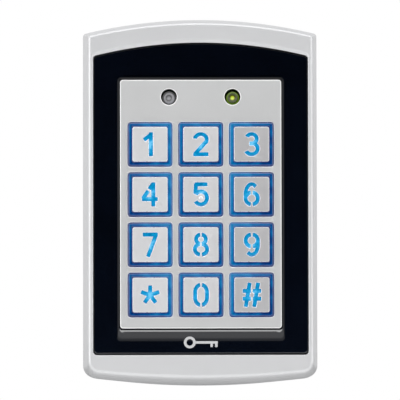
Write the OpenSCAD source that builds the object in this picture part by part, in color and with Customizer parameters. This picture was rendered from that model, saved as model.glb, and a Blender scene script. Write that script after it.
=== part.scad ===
// Wall-mounted keypad access reader, in millimetres.
// X runs to the right, Y into the wall and Z up. The wall is the plane Y = 0.
// A depth is a distance from the wall towards the user: depth d lies at Y = -d.

/* [Housing] */
// Width of the housing where it meets the wall
body_w = 76.8; // [76.8:0.2:84]
// Height of the housing where it meets the wall, on its centre line
body_h = 120; // [120:1:128]
// Depth of the housing's front face
body_d = 19.6; // [19.6:0.2:20.4]
// Radius of the arched top edge
top_arc_r = 160; // [140:5:260]
// Radius of the arched bottom edge at the wall
bottom_arc_r = 235; // [180:5:400]
// Radius of the arched bottom edge of the front face
front_bottom_arc_r = 320; // [240:5:500]
// Radius of the outline's two top corners
corner_r = 1.2; // [1:0.1:2]
// Radius of the outline's two bottom corners
bottom_corner_r = 4; // [1:0.1:4]
// How far the left and right sides lean in between the wall and the front edge
draft_x = 2; // [1:0.1:2.1]
// How far the top leans in between the wall and the front edge
draft_z = 3; // [2:0.1:3.2]
// How far the bottom leans in between the wall and the front edge, not counting its rolled edge
bottom_lean = 1.2; // [0.6:0.1:2]
// Depth over which the bottom rolls up to the front face
bottom_roll_d = 6.5; // [4:0.5:12]
// Radius of the rounding round the front face
front_round_r = 1.3; // [0.6:0.1:1.4]
// Thickness of the side walls
wall_t = 1.4; // [1.2:0.1:1.4]
// Thickness of the front wall
front_t = 2.4; // [2:0.1:2.6]

/* [Bezel] */
// Width of the glossy black frame in the housing's window
bezel_w = 69.1; // [66:0.1:69.2]
// Height of the frame's apex above the middle of the housing
bezel_top = 50.9; // [50:0.1:51.4]
// Height of the frame's bottom edge, below the middle of the housing
bezel_bottom = -49.5; // [-49.6:0.1:-48]
// Radius of the frame's arched top edge
bezel_arc_r = 140; // [120:5:200]
// How far the frame's face lies behind the housing's face
bezel_recess = 0.7; // [0.4:0.1:1]
// Width of the ramp that climbs to the keypad plate
ramp_w = 2.6; // [1.5:0.1:3]

/* [Keypad] */
// Width of the metal keypad plate
plate_w = 51.8; // [51.8:0.2:54]
// Height of the metal keypad plate
plate_h = 79.8; // [79:0.2:82]
// Height of the plate's middle above the middle of the housing
plate_z = -1.1; // [-1.2:0.1:-0.4]
// Distance between key columns
pitch_x = 16.28; // [16.2:0.02:16.4]
// Distance between key rows
pitch_z = 16.09; // [16:0.01:16.2]
// Height of the first key row above the plate's middle
first_row_z = 19.1; // [18:0.1:20]
// Width of a key's translucent body where it shows round the cap
key_w = 14; // [13.4:0.1:14]
// Height of a key's translucent body
key_h = 13.9; // [13.4:0.1:14]
// Width of a metal key cap
cap_w = 11.2; // [10.4:0.1:11.4]
// Height of a metal key cap
cap_h = 11.1; // [10.4:0.1:11.4]
// Depth of the caps' faces, which is the depth of the whole reader
cap_d = 22; // [21.8:0.1:22.4]
// How far a key travels when pressed
key_travel = 0.5; // [0.3:0.1:0.7]

/* [Symbols] */
// Height of a key's cut-out symbol
symbol_h = 7.8; // [7:0.1:8.2]
// Width of the symbols' strokes
stroke_w = 1.35; // [1:0.05:1.4]
// Width of the bridges that hold a symbol's islands
bridge_w = 0.5; // [0.4:0.1:0.7]
// Diameter of the raised dot that marks the middle key
dot_d = 1.4; // [1:0.1:1.6]

/* [Status LEDs] */
// Distance of each LED from the centre line
led_x = 10.2; // [9:0.1:12]
// Height of the LEDs above the plate's middle
led_z = 34.4; // [33:0.1:35]
// Diameter of the LED holes in the plate
led_hole_d = 5.1; // [5:0.1:5.6]

/* [Wall plate] */
// Thickness of the steel wall plate
wall_plate_t = 1.5; // [1:0.1:1.6]
// Sideways distance between the corner screw holes
screw_x = 50; // [46:1:52]
// Upright distance between the corner screw holes
screw_z = 84; // [76:1:86]
// Diameter of the corner screw holes
screw_hole_d = 4.5; // [4:0.1:5]
// Distance between the two slots, as on a round wall box
box_screw_x = 60; // [60:1:60]
// Height of the cable's way out above the middle
cable_z = 16; // [15:0.5:18]
// Diameter of the cable hole in the wall plate
cable_hole_d = 22; // [18:1:24]
// Diameter of the cable that the grommet takes
grommet_bore_d = 6.5; // [5:0.5:7]

/* [Hidden] */
KEYS = ["1", "2", "3", "4", "5", "6", "7", "8", "9", "star", "0", "hash"];
STATIC_NODES = [
    "front_housing", "bezel", "plate_tape", "keypad_plate", "status_led_left", "status_led_right",
    "main_board", "switch_bodies", "backlight_leds", "antenna_coil", "controller_chips", "lock_relay",
    "buzzer", "capacitors", "wiring_header", "tamper_sensor", "rear_cover", "cable_grommet",
    "cover_screws", "board_screws", "wall_plate", "security_screw"
];
$fn = 48;
eps = 0.01;

// Depths through the reader, from the wall to the front
cover_d0 = wall_plate_t + 2.5;
cover_t = 1.6;
cover_d1 = cover_d0 + cover_t;
board_t = 1.6;
board_d1 = 13;
board_d0 = board_d1 - board_t;
front_inner_d = body_d - front_t;
side_d = body_d - front_round_r;
tape_t = 0.2;
bezel_d = body_d - bezel_recess;
flange_d1 = front_inner_d;
flange_d0 = flange_d1 - 1.2;
ramp_d = bezel_d + 0.6;
plate_t = 1.5;
plate_d0 = bezel_d + 0.1;
plate_d1 = plate_d0 + plate_t;
lens_rim_d = plate_d1 + 0.4;
cap_seat_d = lens_rim_d - 0.3;
symbol_d = cap_d - 0.2;
lens_flange_d1 = plate_d0 - 0.1;
lens_flange_d0 = lens_flange_d1 - 1.3;
switch_d1 = board_d1 + 3;
plunger_d1 = switch_d1 + key_travel + 0.7;

// Sizes that several pieces share
gap = 0.15;
open_w = plate_w - 2.6;
open_h = plate_h - 2.6;
board_w = 68.8;
board_h = 97.2;
board_r = 3;
flange_out = 0.4;
lens_flange = 0.5;
key_corner_r = 0.8;
cap_corner_r = 0.5;
switch_w = 6.2;
plunger_r = 1.5;
boss_r = 2.5;
boss_x = 30;
boss_top_z = 50.8;
boss_bottom_z = -52.55;
post_x = 31.2;
post_rows = [-36, 0, 36];
post_r = 2.4;
led_r = 2.4;
lead_pitch = 2.54;
tab_x = 20;
tab_w = 8;
tab_z = 52.6;
lower_tab_z = -55.6;
lower_tab_w = 12;
security_d = 5;
security_head_r = 2.25;
security_head_h = 1.4;
security_seat_z = -body_h / 2 + 3.1;
sensor_pos = [22, -24];
security_shank_r = 1.2;
dot_pos = [0, -1.15];
dot_h = 0.3;

// ---- Helpers ----

// A circular arc of n steps; its last point is left out if the next arc starts there
function arc(c, r, a0, a1, n, last = true) =
    [for (i = [0 : n - (last ? 0 : 1)]) let (a = a0 + (a1 - a0) * i / n) [c.x + r * cos(a), c.y + r * sin(a)]];

// Outline with straight sides, an arched top and an arched bottom, or a flat one where rb is 0.
// The top and bottom arcs have radii rt and rb, the top and bottom corners radii kt and kb.
function arched(hw, top, bottom, rt, rb, kt, kb, n = 20, nc = 4) =
    let (
        ct = [hw - kt, top - rt + sqrt(pow(rt - kt, 2) - pow(hw - kt, 2))],
        at = atan2(ct.y - top + rt, ct.x),
        flat = rb == 0,
        cb = [hw - kb, flat ? bottom + kb : bottom + rb - sqrt(pow(rb - kb, 2) - pow(hw - kb, 2))],
        ab = flat ? 90 : atan2(bottom + rb - cb.y, cb.x)
    )
    concat(
        arc(ct, kt, 0, at, nc, false),
        arc([0, top - rt], rt, at, 180 - at, n, false),
        arc([-ct.x, ct.y], kt, 180 - at, 180, nc),
        arc([-cb.x, cb.y], kb, 180, 180 + ab, nc, flat),
        flat ? [] : arc([0, bottom + rb], rb, 180 + ab, 360 - ab, n, false),
        arc(cb, kb, 360 - ab, 360, nc)
    );

// How far the bottom has risen at depth d: a slight lean, then a quarter ellipse that rolls up to the front face
function bottom_lift(d) =
    let (lean = bottom_lean * max(d, 0) / body_d, u = max(min(d, body_d) - body_d + bottom_roll_d, 0) / bottom_roll_d)
    lean + (draft_z + front_round_r - bottom_lean) * (1 - sqrt(1 - u * u));

// Outline of the housing at depth d, moved in by i, and by low at the bottom
function body_outline(d, i, low) =
    let (t = min(max(d, 0) / side_d, 1), ix = draft_x * t + i, iz = draft_z * t + i)
    arched(body_w / 2 - ix, body_h / 2 - iz, -body_h / 2 + bottom_lift(d) + low, top_arc_r - iz,
           bottom_arc_r + (front_bottom_arc_r - bottom_arc_r) * t - i,
           max(corner_r - i, 0.6), max(bottom_corner_r - i, 0.6));

// Outline of the window and the bezel, grown by g
function window_outline(g) =
    let (r = 1.2 + max(g, 0))
    arched(bezel_w / 2 + g, bezel_top + g, bezel_bottom - g, bezel_arc_r + g, 0, r, r);

// Rectangle with round corners about a centre
function rounded(w, h, r, c = [0, 0], n = 4) =
    [for (q = [0 : 3]) each arc(
        [c.x + (q == 0 || q == 3 ? 1 : -1) * (w / 2 - r), c.y + (q < 2 ? 1 : -1) * (h / 2 - r)],
        r, 90 * q, 90 * q + 90, n)];

// Solid through outlines that each have the same number of points: [[depth, outline], ...]
module loft(levels) {
    n = len(levels[0][1]);
    last = len(levels) - 1;
    points = [for (l = levels) each [for (p = l[1]) [p.x, -l[0], p.y]]];
    sides = [
        for (k = [0 : last - 1], i = [0 : n - 1])
            let (a = k * n + i, b = k * n + (i + 1) % n)
            each [[a, a + n, b + n], [a, b + n, b]]
    ];
    polyhedron(points, concat([[for (i = [0 : n - 1]) i]], sides, [[for (i = [n - 1 : -1 : 0]) last * n + i]]));
}

// Prism of a flat shape between two depths
module slab(d0, d1) {
    translate([0, -d0, 0]) rotate([90, 0, 0]) linear_extrude(d1 - d0) children();
}

// Round bar along Y between two depths
module rod(x, z, r, d0, d1) {
    translate([x, -d0, z]) rotate([90, 0, 0]) cylinder(r = r, h = d1 - d0);
}

// Block between two depths and two corners [x, z]
module block(low, high, d0, d1) {
    translate([low.x, -d1, low.y]) cube([high.x - low.x, d1 - d0, high.y - low.y]);
}

// Copies at every housing boss
module at_bosses() {
    for (sx = [-1, 1], z = [boss_top_z, boss_bottom_z]) translate([sx * boss_x, 0, z]) children();
}

// Copies at every bezel post
module at_posts() {
    for (sx = [-1, 1], z = post_rows) translate([sx * post_x, 0, plate_z + z]) children();
}

// Middle of a key as [x, z], counted along the rows from the top left
function key_pos(k) = [(k % 3 - 1) * pitch_x, plate_z + first_row_z - floor(k / 3) * pitch_z];

// ---- Symbols ----

// A stroke is ["bar", from, to] or ["arc", centre, [rx, ry], from angle, to angle]
bridge_a = 8;
top_y = symbol_h / 2 - stroke_w / 2;
function six_strokes() = [
    ["arc", [0, -1.3], [1.95, top_y - 1.3], bridge_a - 90, 90 - bridge_a],
    ["arc", [0, -1.3], [1.95, top_y - 1.3], 90 + bridge_a, 270 - bridge_a],
    ["arc", [0, 0], [1.95, top_y], 48, 190]
];
function strokes(key) =
    key == "0" ? [
        for (side = [-1, 1])
            each [
                ["arc", [0, 0.9], [1.9, top_y - 0.9], 90 - side * 90, 90 - side * bridge_a],
                ["arc", [0, -0.9], [1.9, top_y - 0.9], side * 90 - 90, side * bridge_a - 90],
                ["bar", [side * 1.9, -1.3], [side * 1.9, 1.3]]
            ]
    ] :
    key == "1" ? [
        ["bar", [0.3, -symbol_h / 2], [0.3, symbol_h / 2]],
        ["bar", [0.55, 3.3], [-1.95, 1.35]]
    ] :
    key == "2" ? [
        ["arc", [0, 1.5], [1.9, top_y - 1.5], 172, -38],
        ["bar", [1.75, 0.85], [-1.85, -3.1]],
        ["bar", [-2.45, -top_y], [2.5, -top_y]]
    ] :
    key == "3" ? [
        ["arc", [0, 1.7], [1.65, top_y - 1.7], 155, -80],
        ["arc", [0, -1.45], [1.95, top_y - 1.45], 80, -155],
        ["bar", [-0.7, 0.2], [0.6, 0.2]]
    ] :
    key == "4" ? [
        ["bar", [1.1, 3.6], [-0.25, 1.63]],
        ["bar", [-0.55, 1.19], [-2.3, -1.35]],
        ["bar", [-2.65, -1.5], [2.5, -1.5]],
        ["bar", [1.05, -symbol_h / 2], [1.05, symbol_h / 2]]
    ] :
    key == "5" ? [
        ["bar", [-1.95, top_y], [2.15, top_y]],
        ["bar", [-1.55, 3.6], [-1.75, 0.1]],
        ["arc", [0, -1.15], [1.95, top_y - 1.15], 148, -150]
    ] :
    key == "6" ? six_strokes() :
    key == "7" ? [
        ["bar", [-2.4, top_y], [2.5, top_y]],
        ["bar", [1.95, 3.3], [-0.7, -symbol_h / 2]]
    ] :
    key == "8" ? [
        for (loop = [[1.7, 1.55], [-1.5, 1.95]], side = [-1, 1])
            ["arc", [0, loop[0]], [loop[1], top_y - abs(loop[0])],
             side > 0 ? bridge_a - 90 : 90 + bridge_a, side > 0 ? 90 - bridge_a : 270 - bridge_a]
    ] :
    key == "star" ? [
        for (a = [90 : 72 : 378]) ["bar", [0, 0], [3.1 * cos(a), 3.1 * sin(a)]]
    ] : [
        for (side = [-1, 1])
            each [
                ["bar", [side * 1.35 - 0.65, -3.9], [side * 1.35 + 0.65, 3.9]],
                ["bar", [side * 3, side * 1.25], [side * bridge_w / 2, side * 1.25]],
                ["bar", [-side * 3, side * 1.25], [-side * bridge_w / 2, side * 1.25]]
            ]
    ];

// Outline of one stroke, made narrower and shorter by s on every side
function stroke_outline(st, s) =
    st[0] == "bar" ?
        let (u = (st[2] - st[1]) / norm(st[2] - st[1]), v = [-u.y, u.x] * (stroke_w / 2 - s),
             a = st[1] + u * s, b = st[2] - u * s)
        [a - v, b - v, b + v, a + v] :
        let (c = st[1], r = st[2], h = stroke_w / 2 - s, turn = sign(st[4] - st[3]),
             trim = turn * s / min(r.x, r.y) * 180 / PI, a0 = st[3] + trim, a1 = st[4] - trim,
             n = ceil(abs(a1 - a0) / 11))
        concat(
            [for (i = [0 : n]) let (a = a0 + (a1 - a0) * i / n) c + [(r.x + h) * cos(a), (r.y + h) * sin(a)]],
            [for (i = [n : -1 : 0]) let (a = a0 + (a1 - a0) * i / n) c + [(r.x - h) * cos(a), (r.y - h) * sin(a)]]
        );

// Prisms of a key's symbol between two depths; a nine is a six turned half round
module symbol(key, s, d0, d1) {
    turned = key == "9";
    for (st = strokes(turned ? "6" : key))
        slab(d0, d1) rotate(turned ? 180 : 0) polygon(stroke_outline(st, s));
}

// ---- Casing ----

round_steps = 4;
side_steps = 8;
lip_r = 0.4;
lip_steps = 3;

module housing_shell() {
    difference() {
        loft(concat(
            [for (i = [0 : side_steps - 1]) let (d = side_d * i / side_steps) [d, body_outline(d, 0, 0)]],
            [for (i = [0 : round_steps]) let (a = 90 * i / round_steps, d = body_d - front_round_r * (1 - sin(a)))
                [d, body_outline(d, front_round_r * (1 - cos(a)), 0)]]
        ));
        loft([for (i = [0 : side_steps]) let (d = (front_inner_d + 1) * i / side_steps - 1)
            [d, body_outline(d, wall_t, wall_t)]]);
        loft(concat(
            [[front_inner_d - 1, window_outline(0)]],
            [for (i = [0 : lip_steps]) let (a = 90 * i / lip_steps)
                [body_d - lip_r * (1 - sin(a)), window_outline(lip_r * (1 - cos(a)))]],
            [[body_d + 1, window_outline(lip_r)]]
        ));
    }
}

module front_housing() color("gainsboro") {
    difference() {
        union() {
            housing_shell();
            at_bosses() rod(0, 0, boss_r, cover_d1, front_inner_d + 0.5);
            for (sx = [-1, 1])
                block([sx * tab_x - 4.5, tab_z + 1.8], [sx * tab_x + 4.5, tab_z + 4.4], 2.5, 4.7);
            translate([0, -security_d, -body_h / 2 + wall_t / 2])
                cylinder(r = security_head_r + 1, h = lower_tab_z - 0.3 + body_h / 2 - wall_t / 2);
        }
        at_bosses() rod(0, 0, 1.1, cover_d1 - 1, cover_d1 + 9);
        translate([0, -security_d, -body_h / 2 - 1])
            cylinder(r = security_head_r + 0.2, h = security_seat_z + body_h / 2 + 1);
        translate([0, -security_d, -body_h / 2 - 1]) cylinder(r = security_shank_r + 0.2, h = 8);
    }
}

module bezel() color("black") {
    frame_w = plate_w + 2 * gap;
    frame_h = plate_h + 2 * gap;
    difference() {
        union() {
            slab(flange_d1 - eps, bezel_d) polygon(window_outline(-gap));
            slab(flange_d0, flange_d1) polygon(window_outline(flange_out));
            loft([
                [bezel_d - 0.5, rounded(frame_w + 2 * ramp_w, frame_h + 2 * ramp_w, 1.2, [0, plate_z])],
                [bezel_d, rounded(frame_w + 2 * ramp_w, frame_h + 2 * ramp_w, 1.2, [0, plate_z])],
                [ramp_d, rounded(frame_w + 0.5, frame_h + 0.5, 1.2, [0, plate_z])]
            ]);
        }
        slab(plate_d0 - tape_t, ramp_d + 1) polygon(rounded(frame_w, frame_h, 0.9, [0, plate_z]));
        slab(flange_d0 - 1, ramp_d) polygon(rounded(open_w, open_h, 1, [0, plate_z]));
        difference() {
            slab(flange_d0 - 1, flange_d1) polygon(window_outline(flange_out - 2.4));
            slab(flange_d0 - 2, flange_d1 + 1) polygon(rounded(open_w + 3.2, open_h + 3.2, 2, [0, plate_z]));
        }
    }
    at_posts() difference() {
        rod(0, 0, post_r, board_d1, flange_d1);
        rod(0, 0, 0.95, board_d1 - 1, flange_d1 - 0.6);
    }
}

module plate_tape() color("dimgray") {
    difference() {
        slab(plate_d0 - tape_t, plate_d0) polygon(rounded(plate_w - 0.2, plate_h - 0.2, 0.8, [0, plate_z]));
        slab(plate_d0 - 1, plate_d0 + 1) polygon(rounded(open_w, open_h, 1, [0, plate_z]));
    }
}

// ---- Keypad ----

module keypad_plate() color("silver") {
    edge = 0.45;
    difference() {
        loft([
            [plate_d0, rounded(plate_w, plate_h, 0.9, [0, plate_z])],
            [plate_d1 - edge, rounded(plate_w, plate_h, 0.9, [0, plate_z])],
            [plate_d1, rounded(plate_w - 2 * edge, plate_h - 2 * edge, 0.6, [0, plate_z])]
        ]);
        for (k = [0 : len(KEYS) - 1])
            slab(plate_d0 - 1, plate_d1 + 1)
                polygon(rounded(key_w + 2 * gap, key_h + 2 * gap, key_corner_r + gap, key_pos(k)));
        for (sx = [-1, 1]) rod(sx * led_x, plate_z + led_z, led_hole_d / 2, plate_d0 - 1, plate_d1 + 1);
    }
}

module key_cap(k) color("gainsboro") {
    edge = 0.35;
    c = key_pos(k);
    difference() {
        loft([
            [cap_seat_d, rounded(cap_w, cap_h, cap_corner_r, c)],
            [cap_d - edge, rounded(cap_w, cap_h, cap_corner_r, c)],
            [cap_d, rounded(cap_w - 2 * edge, cap_h - 2 * edge, cap_corner_r, c)]
        ]);
        translate([c.x, 0, c.y]) symbol(KEYS[k], 0, cap_seat_d - 1, cap_d + 1);
    }
    if (KEYS[k] == "5") rod(c.x + dot_pos.x, c.y + dot_pos.y, dot_d / 2, cap_d - 0.3, cap_d + dot_h);
}

module key_lens(k) color("dodgerblue") {
    edge = 0.4;
    slack = 0.05;
    roof_d = lens_flange_d1 + 0.3;
    c = key_pos(k);
    difference() {
        union() {
            slab(lens_flange_d0, lens_flange_d1)
                polygon(rounded(key_w + 2 * lens_flange, key_h + 2 * lens_flange, key_corner_r, c));
            loft([
                [lens_flange_d1 - 0.5, rounded(key_w, key_h, key_corner_r, c)],
                [lens_rim_d - edge, rounded(key_w, key_h, key_corner_r, c)],
                [lens_rim_d, rounded(key_w - 2 * edge, key_h - 2 * edge, key_corner_r - edge, c)]
            ]);
        }
        slab(cap_seat_d, lens_rim_d + 1)
            polygon(rounded(cap_w + 2 * slack, cap_h + 2 * slack, cap_corner_r + slack, c));
        slab(lens_flange_d0 - 1, roof_d) polygon(rounded(key_w - 2, key_h - 2, 1, c));
    }
    rod(c.x, c.y, 1.7, plunger_d1, roof_d + 0.5);
    translate([c.x, 0, c.y]) symbol(KEYS[k], slack, cap_seat_d - 0.3, symbol_d);
}

module switch_plunger(k) color("dimgray") {
    c = key_pos(k);
    rod(c.x, c.y, plunger_r, switch_d1 - 1.4, plunger_d1);
}

module switch_bodies() color("black") {
    for (k = [0 : len(KEYS) - 1]) let (c = key_pos(k)) difference() {
        slab(board_d1, switch_d1) polygon(rounded(switch_w, switch_w, 0.6, c));
        rod(c.x, c.y, plunger_r + gap, switch_d1 - 2.2, switch_d1 + 1);
    }
}

module backlight_leds() color("white") {
    for (k = [0 : len(KEYS) - 1], sx = [-1, 1]) let (c = key_pos(k))
        block([c.x + sx * 4.6 - 0.8, c.y - 1.6], [c.x + sx * 4.6 + 0.8, c.y + 1.6], board_d1, board_d1 + 1.2);
}

// ---- Status LEDs and electronics ----

module status_led(sx, tint) color(tint) {
    base_d = board_d1 + 0.3;
    x = sx * led_x;
    z = plate_z + led_z;
    rod(x, z, led_r + 0.4, base_d, base_d + 1);
    translate([x, -base_d, z]) rotate([90, 0, 0]) rotate_extrude() {
        top = plate_d1 - 0.6 - base_d;
        square([led_r, top - led_r]);
        intersection() {
            translate([0, top - led_r]) circle(r = led_r);
            square([led_r, top]);
        }
    }
    for (s = [-1, 1]) rod(x + s * lead_pitch / 2, z, 0.3, board_d0 - 1.2, base_d + 0.2);
}

module main_board() color("darkgreen") {
    difference() {
        slab(board_d0, board_d1) polygon(rounded(board_w, board_h, board_r, [0, plate_z]));
        at_posts() rod(0, 0, 1.2, board_d0 - 1, board_d1 + 1);
        for (sx = [-1, 1], s = [-1, 1])
            rod(sx * led_x + s * lead_pitch / 2, plate_z + led_z, 0.45, board_d0 - 1, board_d1 + 1);
    }
}

module antenna_coil() color("peru") {
    coil_w = 56.4;
    coil_h = 86;
    coil_t = 2.4;
    difference() {
        slab(board_d1, board_d1 + 2.2) polygon(rounded(coil_w, coil_h, 6, [0, plate_z]));
        slab(board_d1 - 1, board_d1 + 4)
            polygon(rounded(coil_w - 2 * coil_t, coil_h - 2 * coil_t, 6 - coil_t, [0, plate_z]));
    }
}

module controller_chips() color("black") {
    block([-24, 26], [-14, 36], board_d0 - 1.4, board_d0);
    block([-21, 10], [-16, 16], board_d0 - 1.6, board_d0);
    block([12, 30], [18, 35], board_d0 - 1.6, board_d0);
}

module lock_relay() color("navy") {
    block([17, 2], [25, 17.2], board_d0 - 5.4, board_d0);
}

module buzzer() color("black") {
    difference() {
        rod(-18, -28, 6, board_d0 - 5.2, board_d0);
        rod(-18, -28, 1, board_d0 - 6, board_d0 - 3.6);
    }
}

module capacitors() color("silver") {
    for (x = [2, 10]) rod(x, -30, 3.15, board_d0 - 5.2, board_d0);
}

module wiring_header() color("ivory") {
    difference() {
        block([-13, -8], [13, -1.5], board_d0 - 5.2, board_d0);
        block([-12, -7], [12, -2.5], board_d0 - 6, board_d0 - 1.4);
    }
    for (i = [0 : 8]) rod((i - 4) * 2.54, -4.75, 0.32, board_d0 - 4.6, board_d0 - 1.4 + eps);
}

module tamper_sensor() color("tan") {
    rod(sensor_pos.x, sensor_pos.y, 2.5, board_d0 - 2.2, board_d0);
}

// ---- Back ----

module rear_cover() color("darkslategray") {
    wall = 1.4;
    difference() {
        slab(cover_d0, cover_d1) polygon(body_outline(cover_d1, wall_t + 0.3, wall_t + 0.3));
        at_bosses() rod(0, 0, 1.5, cover_d0 - 1, cover_d1 + 1);
        for (sx = [-1, 1])
            block([sx * tab_x - 5.2, tab_z - 0.6], [sx * tab_x + 5.2, body_h / 2], cover_d0 - 1, cover_d1 + 1);
        block([-10, -body_h / 2], [10, lower_tab_z + 3.4], cover_d0 - 1, cover_d1 + 1);
        rod(0, cable_z, grommet_bore_d / 2 + 1.8, cover_d0 - 1, cover_d1 + 1);
        rod(sensor_pos.x, sensor_pos.y, 2, cover_d0 - 1, cover_d1 + 1);
    }
    difference() {
        slab(cover_d1, board_d0) polygon(rounded(board_w + 0.4, board_h + 0.4, board_r, [0, plate_z]));
        slab(cover_d1 - 1, board_d0 + 1)
            polygon(rounded(board_w + 0.4 - 2 * wall, board_h + 0.4 - 2 * wall, board_r - wall, [0, plate_z]));
    }
}

module cable_grommet() color("black") {
    bore = grommet_bore_d / 2;
    lip = 0.8;
    translate([0, -cover_d0 + lip, cable_z]) rotate([90, 0, 0]) rotate_extrude()
        polygon([
            [bore, 0], [bore + 3.4, 0], [bore + 3.4, lip], [bore + 1.8, lip], [bore + 1.8, lip + cover_t],
            [bore + 3.4, lip + cover_t], [bore + 3.4, 2 * lip + cover_t], [bore, 2 * lip + cover_t]
        ]);
}

module cover_screws() color("gray") {
    at_bosses() {
        difference() {
            rod(0, 0, 2.4, cover_d0 - 1.6, cover_d0);
            for (a = [0, 90]) translate([0, -(cover_d0 - 1.6), 0]) rotate([0, a, 0])
                cube([2.6, 1.4, 0.5], center = true);
        }
        rod(0, 0, 1, cover_d0 - eps, cover_d1 + 8);
    }
}

module board_screws() color("gray") {
    at_posts() {
        rod(0, 0, 1.9, board_d0 - 1.3, board_d0);
        rod(0, 0, 0.85, board_d0 - eps, board_d1 + 3);
    }
}

module wall_plate() color("lightsteelblue") {
    slot_half = 1.9;
    difference() {
        union() {
            slab(0, wall_plate_t) polygon(body_outline(wall_plate_t, wall_t + 0.4, wall_t + 0.4));
            for (sx = [-1, 1]) {
                block([sx * tab_x - tab_w / 2, tab_z], [sx * tab_x + tab_w / 2, tab_z + 1.5], 1, 6.4);
                block([sx * tab_x - tab_w / 2, tab_z], [sx * tab_x + tab_w / 2, tab_z + 2.5], 5.1, 6.4);
            }
            block([-lower_tab_w / 2, lower_tab_z], [lower_tab_w / 2, lower_tab_z + 1.5], 1, security_d + 4);
        }
        for (sx = [-1, 1], sz = [-1, 1])
            rod(sx * screw_x / 2, sz * screw_z / 2, screw_hole_d / 2, -1, wall_plate_t + 1);
        for (sx = [-1, 1]) {
            for (s = [-1, 1]) rod(sx * box_screw_x / 2 + s * slot_half, 0, 2.1, -1, wall_plate_t + 1);
            block([sx * box_screw_x / 2 - slot_half, -2.1], [sx * box_screw_x / 2 + slot_half, 2.1],
                  -1, wall_plate_t + 1);
        }
        rod(0, cable_z, cable_hole_d / 2, -1, wall_plate_t + 1);
        translate([0, -security_d, lower_tab_z - 1]) cylinder(r = security_shank_r + 0.05, h = 4);
    }
}

module security_screw() color("silver") {
    translate([0, -security_d, security_seat_z - security_head_h]) difference() {
        cylinder(r = security_head_r, h = security_head_h);
        translate([0, 0, -1]) cylinder(r = 1.15, h = 1.8, $fn = 6);
    }
    translate([0, -security_d, security_seat_z - eps]) cylinder(r = security_shank_r, h = 4.2);
}

// ---- Assembly ----

front_housing();
bezel();
plate_tape();
keypad_plate();
status_led(-1, "silver");  // status_led_left
status_led(1, "yellowgreen");  // status_led_right
main_board();
switch_bodies();
backlight_leds();
antenna_coil();
controller_chips();
lock_relay();
buzzer();
capacitors();
wiring_header();
tamper_sensor();
rear_cover();
cable_grommet();
cover_screws();
board_screws();
wall_plate();
security_screw();
for (k = [0 : len(KEYS) - 1]) {
    key_cap(k);
    key_lens(k);
    switch_plunger(k);
}
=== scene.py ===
import math
from collections import namedtuple

import bmesh
import bpy
from mathutils import Matrix, Vector
from mathutils.geometry import delaunay_2d_cdt


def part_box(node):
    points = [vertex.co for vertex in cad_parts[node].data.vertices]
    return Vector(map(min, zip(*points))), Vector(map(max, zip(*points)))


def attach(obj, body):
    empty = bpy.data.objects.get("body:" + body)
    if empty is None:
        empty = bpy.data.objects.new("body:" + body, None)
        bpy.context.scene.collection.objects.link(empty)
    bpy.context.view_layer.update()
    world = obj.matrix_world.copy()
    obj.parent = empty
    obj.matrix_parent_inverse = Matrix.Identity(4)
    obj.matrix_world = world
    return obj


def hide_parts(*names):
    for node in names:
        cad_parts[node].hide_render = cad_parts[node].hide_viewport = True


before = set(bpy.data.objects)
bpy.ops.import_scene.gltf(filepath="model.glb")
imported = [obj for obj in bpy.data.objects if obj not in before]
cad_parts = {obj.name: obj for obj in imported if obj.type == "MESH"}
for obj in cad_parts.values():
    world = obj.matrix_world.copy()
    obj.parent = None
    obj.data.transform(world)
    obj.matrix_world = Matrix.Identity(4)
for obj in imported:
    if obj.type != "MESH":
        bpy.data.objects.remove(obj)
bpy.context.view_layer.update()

# Shapes are made in millimetres, as (x, z) on the front view and a depth from the wall, and scaled
# to metres at the end.
MM = 0.001
KEYS = ["1", "2", "3", "4", "5", "6", "7", "8", "9", "star", "0", "hash"]
Box = namedtuple("Box", "left right bottom top back front")


def mm_box(node):
    """A CAD node's box in millimetres, with its back and front as depths from the wall."""
    low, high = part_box(node)
    return Box(*[v / MM for v in (low.x, high.x, low.z, high.z, -high.y, -low.y)])


HOUSING = mm_box("front_housing")
BEZEL = mm_box("bezel")
PLATE = mm_box("keypad_plate")
PLATE_Z = (PLATE.top + PLATE.bottom) / 2

# ---- Sizes that the boxes don't give ----

# Housing: how far its outline moves in from back to front, its edges, walls and arches.
DRAFT_X = 2.0
DRAFT_TOP = 2.3
DRAFT_BOTTOM = 3.0
FRONT_R = 1.3
BACK_R = 0.25
BOTTOM_LEAN = 1.2
ROLL_D = 6.5
WALL = 1.4
FRONT_WALL = 2.4
TOP_ARC_R = 160.0
BOTTOM_ARC_R = 235.0
FRONT_BOTTOM_ARC_R = 320.0
TOP_CORNER_R = 1.2
BOTTOM_CORNER_R = 4.0

# Window and the lip round it.
WINDOW_R = 1.2
LIP_R = 0.4
LIP_TOP = 1.15

# Black frame: its gaps, flange, ramp up to the keypad, and the crest that the ramp ends in.
BEZEL_ARC_R = 140.0
BEZEL_RECESS = 0.7
BEZEL_EDGE = 0.25
GAP = 0.15
BEZEL_GAP = 0.42
FLANGE_OUT = 0.4
FLANGE_W = 2.4
FLANGE_T = 1.2
RAMP_W = 4.2
RAMP_H = 0.5
RAMP_STEPS = 8
CREST_W = 0.8
CREST_H = 0.13
SIDE_RAMP_W = 1.0
SIDE_CREST_W = 0.3
LEDGE = 1.3
TAPE = 0.2

# Keys and lights.
KEY_R = 0.8
CAP_R = 0.6
RIM_H = 0.4
LENS_FLANGE = 0.5
LENS_FLANGE_T = 1.3
DOT_R = 0.7
DOT_H = 0.3
DOT_Z = -1.15
SYMBOL_H = 7.8
STROKE = 1.35
BRIDGE_DEG = 8.0
LED_X = 10.2
LED_HOLE_R = 2.55

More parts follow.
